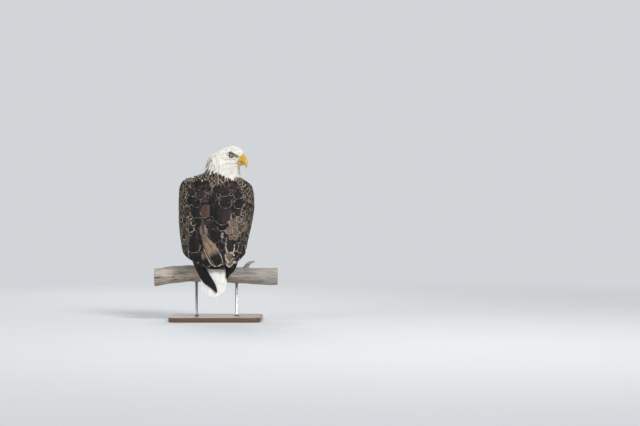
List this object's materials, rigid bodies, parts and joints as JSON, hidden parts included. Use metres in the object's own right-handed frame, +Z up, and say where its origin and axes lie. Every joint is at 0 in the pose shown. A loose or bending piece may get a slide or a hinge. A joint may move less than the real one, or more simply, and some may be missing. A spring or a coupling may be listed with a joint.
{
  "type": "bald eagle model on a perch",
  "caption": "Life-size adult bald eagle at rest with folded wings, looking back over its shoulder, gripping a cut branch on a plain display stand.",
  "frame": {"origin": "on the underside of the stand's base, straight below the branch's axis and the middle of the bird's back", "axes": "+Z up; the branch lies along X; the bird's body faces +Y with its tail towards -Y, and its head looks towards +X and -Y"},
  "size_m": [0.54, 0.3, 0.7642],
  "materials": {
    "white_plumage": "soft white feathers with a cream tinge",
    "brown_plumage": "dark brown feathers with paler worn edges",
    "black_plumage": "blackish flight feathers with a slight gloss",
    "bill_horn": "polished yellow horn",
    "cere_skin": "waxy yellow skin",
    "foot_skin": "scaly yellow skin",
    "claw_horn": "polished black horn",
    "eye": "wet, pale cream-yellow iris and black pupil",
    "branch_wood": "weathered bare wood, grey and cracked",
    "base_wood": "dark stained board with satin varnish",
    "rod_steel": "satin steel"
  },
  "bodies": {
    "root": {"perch": "branch_wood", "stand_base": "base_wood", "stand_rod_left": "rod_steel", "stand_rod_right": "rod_steel", "eye_left": "eye", "eye_right": "eye", "head": "white_plumage", "neck": "white_plumage", "tail": "white_plumage", "trunk": "brown_plumage", "wing_left": "brown_plumage", "wing_right": "brown_plumage", "wingtip_left": "black_plumage", "wingtip_right": "black_plumage", "thigh_left": "brown_plumage", "thigh_right": "brown_plumage", "bill_upper": "bill_horn", "bill_lower": "bill_horn", "cere": "cere_skin", "foot_left": "foot_skin", "foot_right": "foot_skin", "claw_left_inner": "claw_horn", "claw_left_middle": "claw_horn", "claw_left_outer": "claw_horn", "claw_left_rear": "claw_horn", "claw_right_inner": "claw_horn", "claw_right_middle": "claw_horn", "claw_right_outer": "claw_horn", "claw_right_rear": "claw_horn"}
  },
  "joints": []
}
